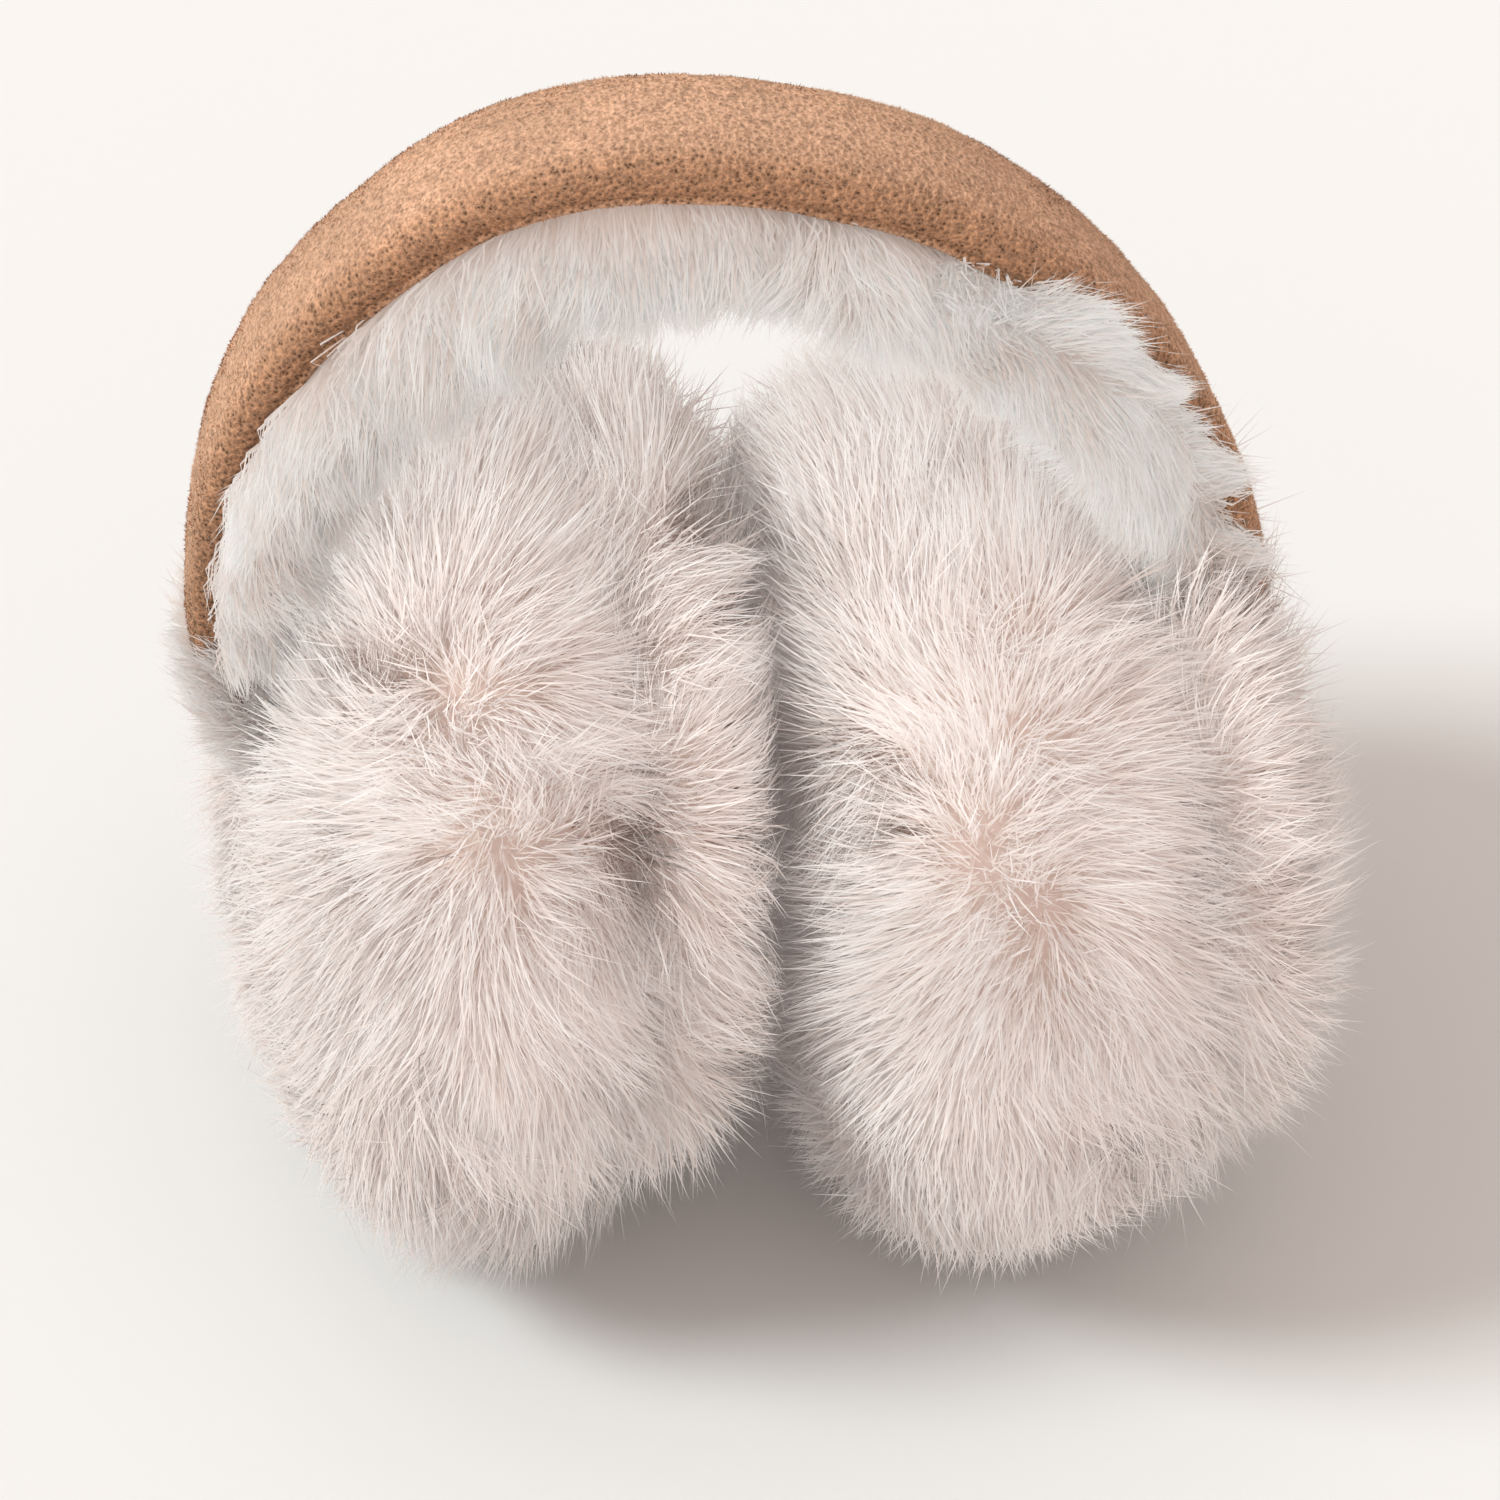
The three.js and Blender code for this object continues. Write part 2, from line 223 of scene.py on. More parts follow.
# Light: which way the key light travels, its spread in degrees and its colour, the tilt, spread and
# colour of the soft light on the muffs, the colour of the light from all round, and its bounces
KEY_TRAVEL = (1.0, 0.2, -1.05)
KEY_SPREAD = 20
KEY_COLOUR = (0.9, 0.99, 1.0)
FUR_LIGHT_TILT = 40
FUR_LIGHT_SPREAD = 60
FUR_LIGHT_COLOUR = (1.0, 0.97, 0.965)
SKY_COLOUR = (1.0, 0.89, 0.83, 1)
LIGHT_BOUNCES = 2
FLOOR_REACH = 6.0

# The share of light that goes through a hair
HAIR_THROUGH = 0.28

FUR_MAP = "OFBake"
SUEDE_MAP = "suede_way"
FLOOR_GAP = 0.0004
# Half the width that a hair has in the map, because a face without width there bakes black
MAP_HALF_WIDTH = 0.002


def srgb(red, green, blue):
    """The linear colour of an sRGB colour of three numbers from 0 to 255."""
    share = np.array((red, green, blue)) / 255
    return tuple(np.where(share <= 0.04045, share / 12.92, ((share + 0.055) / 1.055) ** 2.4))


class SuedeSizes(bpy.types.PropertyGroup):
    """Sizes and colour of the headband's suede."""

    width: FloatProperty(
        name="Width", description="Band width from front to back", default=0.0195, unit="LENGTH"
    )
    thickness: FloatProperty(
        name="Thickness", description="Padded thickness at the crown", default=0.0094, unit="LENGTH"
    )
    nap: FloatProperty(
        name="Nap", description="Length of the suede's raised fibres", default=0.0006, unit="LENGTH"
    )
    fibres: IntProperty(
        name="Fibres", description="Number of raised fibres", default=48000, min=0, max=120000
    )
    colour: FloatVectorProperty(
        name="Suede", description="Colour of the suede", default=srgb(214, 168, 137), subtype="COLOR"
    )


class FurSizes(bpy.types.PropertyGroup):
    """Sizes and colours of the plush fur."""

    length: FloatProperty(
        name="Hair length", description="Length of a muff hair", default=0.0155, unit="LENGTH"
    )
    lining_length: FloatProperty(
        name="Lining hair length", description="Length of a lining hair", default=0.0165, unit="LENGTH"
    )
    hair_width: FloatProperty(
        name="Hair width", description="Width of a hair at its middle", default=0.00027, unit="LENGTH"
    )
    hairs: IntProperty(
        name="Hairs", description="Long hairs on one of the large rounds", default=23000, min=1000, max=30000
    )
    fine_hairs: IntProperty(
        name="Fine hairs", description="Fine hairs for each long one", default=3, min=0, max=6
    )
    tip: FloatVectorProperty(
        name="Tips", description="Colour of the hair tips", default=srgb(250, 248, 247), subtype="COLOR"
    )
    root: FloatVectorProperty(
        name="Roots", description="Colour of the hair roots", default=srgb(232, 213, 204), subtype="COLOR"
    )


class StageSizes(bpy.types.PropertyGroup):
    """The floor, the light and the camera."""

    floor: FloatVectorProperty(
        name="Floor", description="Colour of the floor", default=srgb(243, 242, 241), subtype="COLOR"
    )
    key: FloatProperty(
        name="Key light", description="Strength of the soft light from the left", default=1.95, min=0
    )
    fill: FloatProperty(
        name="Fill light", description="Strength of the light from all round", default=0.68, min=0
    )
    glow: FloatProperty(
        name="Fur light", description="Strength of the soft light on the muffs", default=1.58, min=0
    )


def table(columns, rows):
    """Named columns of a table as arrays."""
    return dict(zip(columns, np.array(rows, float).T))


def unit(vectors):
    """Vectors made one long."""
    return vectors / np.maximum(np.linalg.norm(vectors, axis=-1, keepdims=True), 1e-12)


def dot(a, b):
    """Dot products of two rows of vectors, kept as a column."""
    return (a * b).sum(-1, keepdims=True)


def flattened(vectors, normals):
    """Vectors laid flat against a surface and made one long: the part along the normal is taken away."""
    return unit(vectors - normals * dot(vectors, normals))


def waves(points, scale, seed, channels=1):
    """Smooth noise from about -1 to 1: a sum of sine waves in random directions, scale metres long."""
    rng = np.random.default_rng(seed)
    total = np.zeros((len(points), channels))
    for _ in range(7):
        direction = unit(rng.normal(size=(channels, 3))) * (2 * np.pi / scale) * rng.uniform(0.6, 1.6)
        total += np.sin(points @ direction.T + rng.uniform(0, 2 * np.pi, channels))
    return total / 7**0.5


def smooth_curve(points, share):
    """A centripetal Catmull-Rom curve through points, at shares of its way: on each span a cubic whose
    slopes come from the neighbouring points, weighed by the roots of their distances."""
    points = np.asarray(points, float)
    ends = [2 * points[:1] - points[1:2], points, 2 * points[-1:] - points[-2:-1]]
    padded = np.concatenate(ends)
    place = np.clip(share, 0, 1) * (len(points) - 1)
    span = np.minimum(place.astype(int), len(points) - 2)
    part = (place - span)[:, None]
    p0, p1, p2, p3 = (padded[span + k] for k in range(4))
    d0, d1, d2 = (
        np.sqrt(np.linalg.norm(b - a, axis=1, keepdims=True)) for a, b in ((p0, p1), (p1, p2), (p2, p3))
    )
    slope1 = ((p1 - p0) / d0 - (p2 - p0) / (d0 + d1) + (p2 - p1) / d1) * d1
    slope2 = ((p2 - p1) / d1 - (p3 - p1) / (d1 + d2) + (p3 - p2) / d2) * d1
    square, cube = part**2, part**3
    return (
        (2 * cube - 3 * square + 1) * p1
        + (cube - 2 * square + part) * slope1
        + (3 * square - 2 * cube) * p2
        + (cube - square) * slope2
    )


def arch_at(share, width, thickness):
    """The headband at shares of its way: middle, directions and half sizes. The middle runs on a smooth
    curve through the arch's sections, and sideways is the Y direction turned back by the twist."""
    rows = table(ARCH_COLUMNS, ARCH)
    zero = np.zeros(len(ARCH))
    line = np.stack([rows["across"] * ARCH_SPAN / 2, zero, ARCH_FOOT + rows["up"] * ARCH_RISE], 1)
    step = 1e-4
    middle = smooth_curve(line, share)
    along = unit(smooth_curve(line, share + step) - smooth_curve(line, share - step))
    knots = np.linspace(0, 1, len(ARCH))
    wide, thick, twist = (np.interp(share, knots, rows[name])[:, None] for name in ARCH_COLUMNS[2:])
    turn = -np.radians(twist)
    y_axis = np.array([[0.0, 1.0, 0.0]])
    sideways = y_axis * np.cos(turn) + np.cross(along, y_axis) * np.sin(turn)
    return {
        "middle": middle,
        "along": along,
        "sideways": sideways,
        "outwards": -np.cross(sideways, along),
        "half_wide": wide * width / 2,
        "half_thick": thick * thickness / 2,
    }


def padded_section(angle, squareness):
    """Cosine and sine of an angle bulged towards a rectangle: each keeps its sign and takes the power two
    over the squareness, so 2 gives an ellipse."""
    return [np.sign(f(angle)) * np.abs(f(angle)) ** (2 / squareness) for f in (np.cos, np.sin)]


def grid_faces(rows, columns):
    """Triangles of a closed skin: rows of points joined round in columns, with one point beyond each end.
    The points are the first end, the rows in order, and the last end."""
    across = np.arange(columns)
    after = (across + 1) % columns
    finish = 1 + (rows - 1) * columns
    caps = [
        np.stack([np.zeros(columns, int), 1 + after, 1 + across], 1),
        np.stack([finish + across, finish + after, np.full(columns, finish + columns)], 1),
    ]
    base = (1 + np.arange(rows - 1) * columns)[:, None]
    a, b = base + across, base + after
    c, d = a + columns, b + columns
    sides = [np.stack([a, b, d], -1).reshape(-1, 3), np.stack([a, d, c], -1).reshape(-1, 3)]
    return np.concatenate(caps + sides)


def facing_out(points, faces, normals):
    """The triangles of a skin, turned over if the middle one faces against its points' normals."""
    spot = faces[len(faces) // 2]
    turned = np.cross(points[spot[1]] - points[spot[0]], points[spot[2]] - points[spot[0]])
    return faces[:, ::-1] if turned @ normals[spot].mean(0) < 0 else faces


def new_piece(name, points, triangles, places=None, normals=None, map_name=FUR_MAP):
    """A mesh object from arrays. places gives the map's two numbers for each point, and a triangle that
    spans the map's first edge is carried past its last."""
    mesh = bpy.data.meshes.new(name)
    mesh.vertices.add(len(points))
    mesh.vertices.foreach_set("co", np.ascontiguousarray(points, np.float32).ravel())
    mesh.loops.add(triangles.size)
    mesh.loops.foreach_set("vertex_index", triangles.astype(np.int32).ravel())
    mesh.polygons.add(len(triangles))
    mesh.polygons.foreach_set("loop_start", np.arange(0, triangles.size, 3, dtype=np.int32))
    mesh.update(calc_edges=True)
    mesh.polygons.foreach_set("use_smooth", np.ones(len(triangles), bool))
    if places is not None:
        corners = places[triangles]
        spans = np.ptp(corners[:, :, 0], axis=1)[:, None] > 0.5
        corners[:, :, 0] += spans & (corners[:, :, 0] < 0.5)
        layer = mesh.uv_layers.new(name=map_name)
        layer.uv.foreach_set("vector", corners.astype(np.float32).ravel())
    if normals is not None:
        mesh.normals_split_custom_set_from_vertices(normals.astype(np.float32))
    mesh.validate()
    piece = bpy.data.objects.new(name, mesh)
    bpy.context.scene.collection.objects.link(piece)
    return piece


def stand_for(piece, node):
    """The piece takes a soft solid's place."""
    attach(piece, "root")
    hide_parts(node)


def arch_shift():
    """From the arch's own frame to the model's: the band's box there against the box of its solid."""
    share = np.linspace(0, 1, 400)
    sizes = bpy.context.scene.earmuff_suede
    at = arch_at(share, sizes.width, sizes.thickness)
    low, high = (np.array(corner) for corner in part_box("suede_band"))
    reach = []
    for angle in np.linspace(0, 2 * np.pi, 48, endpoint=False):
        across, out = padded_section(angle, BAND_SQUARENESS)
        sideways, outwards = at["sideways"] * at["half_wide"], at["outwards"] * at["half_thick"]
        reach.append(at["middle"] + sideways * across + outwards * out)
    reach = np.concatenate(reach)
    shift = (low + high) / 2 - (reach.min(0) + reach.max(0)) / 2
    shift[2] = 0
    return shift


def section_spots(at, middle, half_wide, half_thick, angle, squareness):
    """Points and outward normals of a padded section about the arch's middle, at angles round it."""
    across, out = (part[:, None] for part in padded_section(angle, squareness))
    points = middle + at["sideways"] * half_wide * across + at["outwards"] * half_thick * out
    normals = unit(at["sideways"] * across / half_wide + at["outwards"] * out / half_thick)
    return points + arch_shift(), normals


class Round:
    """One furry round of a muff: a surface turned about the muff's axis, from the parting to the face."""

    def __init__(self, muff, outer_round, fur_depth):
        row = dict(zip(MUFF_COLUMNS, MUFFS[muff]))
        side = row["side"]
        lean, yaw = np.radians(row["lean"]), np.radians(row["yaw"])
        axis = np.array([np.cos(lean), 0.0, -np.sin(lean)])
        axis = np.array([axis[0] * np.cos(yaw), axis[0] * np.sin(yaw), axis[2]])
        shift = arch_shift()
        middle = np.array([side * (ARCH_SPAN / 2 - row["inset"] * MUFF_THICKNESS), 0.0, MUFF_MIDDLE_HEIGHT])
        self.middle = middle + shift
        self.parting = self.middle + axis * side * (0.5 - row["outer"]) * MUFF_THICKNESS
        self.away = axis * (side if outer_round else -side)
        deep = row["outer"] if outer_round else (1 - row["outer"]) * FACE_SHARES[muff]
        self.depth = MUFF_THICKNESS * deep
        wide = row["outer_wide" if outer_round else "inner_wide"]
        self.radius = wide * MUFF_RADIUS
        lift = row["outer_lift" if outer_round else "inner_lift"] * MUFF_RADIUS
        self.centre = self.parting + np.array([0, 0, lift])
        self.across = unit(np.cross(self.away, [0, 0, 1.0]))
        self.up = np.cross(self.across, self.away)
        both = [dict(zip(MUFF_COLUMNS, m)) for m in MUFFS.values()]
        middles = [m["side"] * (ARCH_SPAN / 2 - m["inset"] * MUFF_THICKNESS) for m in both]
        self.meeting = shift[0] + np.mean(middles)
        share = np.linspace(0, 1, 160)
        rows = ROUND_PROFILE if outer_round else INNER_PROFILE
        profile = smooth_curve([(d * self.depth, w * self.radius) for d, w in rows], share)
        slope = unit(np.gradient(profile, axis=0))
        outward = np.stack([-slope[:, 1], slope[:, 0]], 1)
        self.profile, self.outward = profile, outward
        self.skin = profile - outward * fur_depth
        self.skin[:, 1] = np.maximum(self.skin[:, 1], 0)
        self.skin[:, 0] = np.maximum(self.skin[:, 0], 0)

    def at(self, share, angle):
        """Points of the round's skin and its outward normals, where share runs from the parting to the
        face's middle and angle turns about the axis."""
        knots = np.linspace(0, 1, len(self.profile))
        deep, wide = (np.interp(share, knots, self.skin[:, k])[:, None] for k in range(2))
        out, radial = (np.interp(share, knots, self.outward[:, k])[:, None] for k in range(2))
        ray = self.across * np.cos(angle)[:, None] + self.up * np.sin(angle)[:, None]
        return self.centre + self.away * deep + ray * wide, unit(self.away * out + ray * radial)

    def spread(self, count, rng):
        """Even shares and angles: shares follow the surface's area, angles the golden turn."""
        area = np.cumsum(self.profile[:, 1] * np.linalg.norm(np.gradient(self.profile, axis=0), axis=1))
        order = (np.arange(count) + rng.random(count)) / count
        share = np.interp(order, area / area[-1], np.linspace(0, 1, len(area)))
        return share, np.arange(count) * np.pi * (3 - 5**0.5) + rng.normal(0, 0.02, count)


def gathered(roots, tips, size, pull, seed):
    """Tips drawn together in tufts: space is cut into wavy cells of a size, and each tip moves by its pull
    towards the mean tip of its cell."""
    cells = np.floor((roots + 0.35 * size * waves(roots, 2.4 * size, seed, 3)) / size).astype(np.int64)
    cells -= cells.min(0)
    key = (cells[:, 0] * (cells[:, 1].max() + 1) + cells[:, 1]) * (cells[:, 2].max() + 1) + cells[:, 2]
    _, tuft = np.unique(key, return_inverse=True)
    tuft = tuft.ravel()
    held = np.bincount(tuft)
    mean = np.stack([np.bincount(tuft, tips[:, k]) for k in range(3)], 1) / held[:, None]
    return tips + (mean[tuft] - tips) * pull, tuft


def map_places(tone, apart, along):
    """Each hair's places in the map: its tone, a little apart across the hair, and its way along."""
    along = np.broadcast_to(np.array(along), (len(tone), len(along)))
    return np.stack([tone[:, None] + np.array(apart) * MAP_HALF_WIDTH, along], -1).reshape(-1, 2)


def strands(roots, middles, tips, widths, normals, tone, rng):
    """Hairs as tapered ribbons: two points at the root, two at the middle and one at the tip, the ribbon
    rolled at random about the hair. Each half faces the way its normals point. The map's first number is
    the hair's tone and its second the share of the way from root to tip."""
    first, second = unit(middles - roots), unit(tips - middles)
    roll = rng.uniform(-0.5, 0.5, len(roots))[:, None]
    flat = unit(np.cross(first, normals))
    edge = flat * np.cos(roll) + np.cross(first, flat) * np.sin(roll)
    half = edge * widths[:, None] / 2
    points = np.stack([roots - half * 0.8, roots + half * 0.8, middles - half, middles + half, tips], 1)
    start = (np.arange(len(roots)) * 5)[:, None]
    low_faces = dot(np.cross(edge, first), normals) > 0
    tip_faces = dot(np.cross(edge, second), normals) > 0
    low = start + np.where(low_faces, np.array([0, 1, 3, 0, 3, 2]), np.array([0, 3, 1, 0, 2, 3]))
    tip = start + np.where(tip_faces, np.array([2, 3, 4]), np.array([2, 4, 3]))
    faces = np.concatenate([low, tip], 1)
    own = unit(np.cross(edge, second) * np.where(tip_faces, 1, -1))
    shade = unit(normals + 0.08 * own)
    places = map_places(tone, (-1, 1, -1, 1, 0), (0.02, 0.02, 0.5, 0.5, 1.0))
    return points.reshape(-1, 3), faces.reshape(-1, 3), places, np.repeat(shade, 5, axis=0)


def fine_strands(roots, tips, widths, normals, tone):
    """Fine hairs as single tapered slips, two points low in the fur and one at the tip. The map runs from
    the middle of a long hair to its end."""
    forward = unit(tips - roots)
    half = unit(np.cross(forward, normals)) * widths[:, None] / 2
    points = np.stack([roots - half, roots + half, tips], 1)
    faces = (np.arange(len(roots)) * 3)[:, None] + np.array([0, 1, 2])
    shade = unit(normals + 0.08 * flattened(normals, forward))
    places = map_places(tone, (-1, 1, 0), (0.35, 0.35, 1.0))
    return points.reshape(-1, 3), faces, places, np.repeat(shade, 3, axis=0)


def joined(parts):
    """Several lots of points, triangles, map places and normals as one."""
    points, faces, places, normals = zip(*parts)
    first = np.cumsum([0] + [len(p) for p in points[:-1]])
    faces = [f + start for f, start in zip(faces, first)]
    return np.concatenate(points), np.concatenate(faces), np.concatenate(places), np.concatenate(normals)


def above_floor(points, rng):
    """Points under the floor are pressed flat onto it, in a thin uneven layer."""
    low = points[:, 2] < FLOOR_GAP * 3
    points[low, 2] = FLOOR_GAP + rng.random(low.sum()) * FLOOR_GAP * 2
    return points


def nearest_on_line(points, start, end):
    """The nearest point to each on the stretch from start to end."""
    way = end - start
    share = np.clip((points - start) @ way / (way @ way), 0, 1)
    return start + share[:, None] * way


def fur_lay(roots, normals, muff, body, seed, rng):
    """Which way the fur lies and how far it leans, in radians: away from the muff's parting line, a little
    down, and waved by smooth noise, leaning more the further it is from the line and less facing up."""
    start, end = (body.middle + np.array(spot) for spot in PARTINGS[muff])
    away = roots - nearest_on_line(roots, start, end)
    distance = np.linalg.norm(away, axis=1, keepdims=True)
    wave = waves(roots, 0.03, seed + 1, 3)
    fine = waves(roots, 0.011, seed + 2, 3)
    lay = away / (distance + 0.014) + np.array([0, 0, -0.1]) + 0.4 * wave + 0.28 * fine
    lay = flattened(lay + 0.18 * rng.normal(size=roots.shape), normals)
    lean = np.clip(0.5 + 11.0 * distance, 0.5, 0.98) + 0.16 * wave[:, :1]
    return lay, lean * (1 - 0.35 * upward(normals))


def upward(normals):
    """How far a surface faces up, from 0 to 1."""
    return np.clip(normals[:, 2:], 0, 1) ** 2


def near_parting(share):
    """How near a share of the round's profile is to the crease, from 1 in it and falling like a bell."""
    return np.exp(-((share[:, None] / 0.12) ** 2))


def leaning(normals, lay, angle):
    """Directions leaned from the surface's normal towards the lay by an angle."""
    return normals * np.cos(angle) + lay * np.sin(angle)


def round_fur(muff, outer_round, sizes, count, seed):
    """A round's skin, long hairs and fine hairs. Hairs follow the fur's lay, gather in tufts and are a
    little longer in the crease. Fine hairs start low in the fur and end at its surface. Only the hairs
    that stand clear of the floor and on their own side of the plane where the muffs meet are grown."""
    rng = np.random.default_rng(seed)
    body = Round(muff, outer_round, SKIN_DEPTH)
    side = np.sign(body.away[0])

    def grown(roots):
        clear = roots[:, 2] > FLOOR_GAP
        return clear if outer_round else clear & ((roots[:, 0] - body.meeting) * side < 0)

    def kept_in(points):
        if not outer_round:
            over = np.maximum((points[:, 0] - body.meeting) * side, 0)
            reach = rng.uniform(*CROSSING[muff], len(points))
            points[:, 0] -= side * (over - reach * (1 - np.exp(-over / reach)))
        return above_floor(points, rng)

    def toned(tuft, wisp):
        tone_of = rng.random(max(tuft.max(), wisp.max()) + 1)
        tone = 0.5 + 0.16 * (tone_of[tuft] - 0.5) + 0.14 * (tone_of[wisp] - 0.5)
        return np.clip(tone + 0.1 * rng.normal(size=len(tuft)), 0.01, 0.99)

    share, angle = body.spread(count, rng)
    roots, normals = body.at(share, angle)
    lay, lean = fur_lay(roots, normals, muff, body, seed, rng)
    length = 1 + 0.1 * waves(roots, 0.012, seed + 3) + 0.14 * rng.normal(size=(count, 1))
    filling = 0.2 * near_parting(share)
    length = sizes.length * np.clip(length + 0.05 * upward(normals) + filling, 0.45, 1.4)
    middles = roots + leaning(normals, lay, lean * 0.7) * length * 0.5
    tips = leaning(normals, lay, lean * 1.3) + 0.14 * rng.normal(size=roots.shape)
    tips = middles + unit(tips) * length * 0.5
    pull = rng.uniform(0.0, 0.3, (count, 1))
    tips, tuft = gathered(roots, tips, TUFT, 0.5 * pull, seed + 4)
    tips, wisp = gathered(roots, tips, WISP, pull, seed + 5)
    keep = grown(roots)
    widths = sizes.hair_width * rng.uniform(0.6, 1.2, count)
    lots = (roots, kept_in(middles), kept_in(tips), widths, normals, toned(tuft, wisp))
    hair = strands(*(lot[keep] for lot in lots), rng)

    share, angle = body.spread(count * sizes.fine_hairs, rng)
    roots, normals = body.at(share, angle)
    lay, lean = fur_lay(roots, normals, muff, body, seed, rng)
    keep = grown(roots)
    depth = rng.uniform(0.12, 0.34, (len(roots), 1)) * sizes.length
    starts = roots + leaning(normals, lay, lean * 0.7) * depth
    filling = 0.3 * near_parting(share)
    length = sizes.length * rng.uniform(0.3, 0.62, (len(roots), 1)) * (1 + 0.1 * upward(normals) + filling)
    tips = unit(leaning(normals, lay, lean * 1.2) + 0.2 * rng.normal(size=roots.shape))
    tips = starts + tips * length
    tips, tuft = gathered(roots, tips, FINE_TUFT, 0.22, seed + 6)
    tips, wisp = gathered(roots, tips, FINE_WISP, rng.uniform(0, 0.4, (len(roots), 1)), seed + 7)
    widths = sizes.hair_width * rng.uniform(0.5, 1.1, len(roots))
    lots = (kept_in(starts), kept_in(tips), widths, normals, toned(tuft, wisp))
    fine = fine_strands(*(lot[keep] for lot in lots))
    return joined([round_skin(body, side, outer_round, seed), hair, fine])


def round_skin(body, keep_side, outer_round, seed):
    """The closed skin that the hairs stand on, in rows from the parting's middle to the face's middle."""
    rows, columns = 46, 96
    share, angle = np.linspace(0, 0.985, rows), np.linspace(0, 2 * np.pi, columns, endpoint=False)
    spots = np.repeat(share, columns), np.tile(angle, rows)
    points, normals = body.at(*spots)
    points += normals * 0.0012 * waves(points, 0.012, seed + 6)
    ends, _ = body.at(np.array([0.0, 1.0]), np.zeros(2))
    ends[0] = body.centre + body.away * body.skin[0, 0]
    points = np.concatenate([ends[:1], points, ends[1:]])
    normals = np.concatenate([-body.away[None], normals, body.away[None]])
    points[:, 2] = np.maximum(points[:, 2], FLOOR_GAP)
    if not outer_round:
        limit = body.meeting - 0.0004 * keep_side
        points[:, 0] = limit - keep_side * np.maximum((limit - points[:, 0]) * keep_side, 0)
    faces = facing_out(points, grid_faces(rows, columns), normals)
    places = np.stack([np.full(len(points), 0.4), np.full(len(points), 0.03)], 1)
    places += waves(points, 0.01, seed + 7, 2) * np.array([0.05, 0.01])
    return points, faces, places, normals


def lining_at(share, angle, sizes):
    """Points, normals and directions of the lining's backing under the band: a padded section that hangs
    from the band's inner face, deepest at the crown."""
    at = arch_at(share, sizes.width, sizes.thickness)
    crown = np.sin(np.pi * np.clip((share - LINING_FROM) / (LINING_TO - LINING_FROM), 0, 1))[:, None]
    half_deep = LINING_DEPTH * (LINING_ARM_SHARE + (1 - LINING_ARM_SHARE) * crown) / 2
    half_wide = at["half_wide"] * 0.93
    middle = at["middle"] - at["outwards"] * (at["half_thick"] - LINING_BED + half_deep)
    return *section_spots(at, middle, half_wide, half_deep, angle, LINING_SQUARENESS), at


def lining_backing(sizes):
    """The lining's closed backing: its padded section carried along the arch and closed at both ends."""
    rows, columns = 150, 28
    share = np.linspace(LINING_FROM, LINING_TO, rows)
    angle = np.linspace(0, 2 * np.pi, columns, endpoint=False)
    points, normals, at = lining_at(np.repeat(share, columns), np.tile(angle, rows), sizes)
    ends = points.reshape(rows, columns, 3)[[0, -1]].mean(1)
    ends += at["along"][[0, -1]] * np.array([[-0.002], [0.002]])
    skin = np.concatenate([ends[:1], points, ends[1:]])
    skin_normals = np.concatenate([-at["along"][:1], normals, at["along"][-1:]])
    faces = facing_out(skin, grid_faces(rows, columns), skin_normals)
    places = np.tile(np.array([[0.5, 0.1]]), (len(skin), 1))
    return skin, faces, places, skin_normals


def combed(roots, start, end, length, shade, width, pulls, tone, seed, rng):
    """Bent hairs: the first part of each runs in its start direction and the rest in its end direction,
    and the tips gather in wide tufts and in thin wisps, drawn in by shares between the two pulls. The hairs'
    tones vary about the tone that is given."""
    count = len(roots)
    middles = roots + unit(start) * length * 0.45
    tips = middles + unit(end) * length * 0.55
    pull = rng.uniform(*pulls, (count, 1))
    tips, tuft = gathered(roots, tips, TUFT, 0.5 * pull, seed + 3)
    tips, wisp = gathered(roots, tips, WISP, pull, seed + 4)
    tone_of = rng.random(max(tuft.max(), wisp.max()) + 1)
    tones = tone + 0.22 * (tone_of[tuft] - 0.5) + 0.22 * (tone_of[wisp] - 0.5)
    tones = tones + 0.12 * rng.normal(size=count)
    widths = width * rng.uniform(0.6, 1.25, count)
    return strands(roots, middles, tips, widths, shade, np.clip(tones, 0.01, 0.99), rng)


def rising(values, low, high):
    """From 0 at low to 1 at high along a smooth step, as a column."""
    part = np.clip((values - low) / (high - low), 0, 1)
    return (part * part * (3 - 2 * part))[:, None]


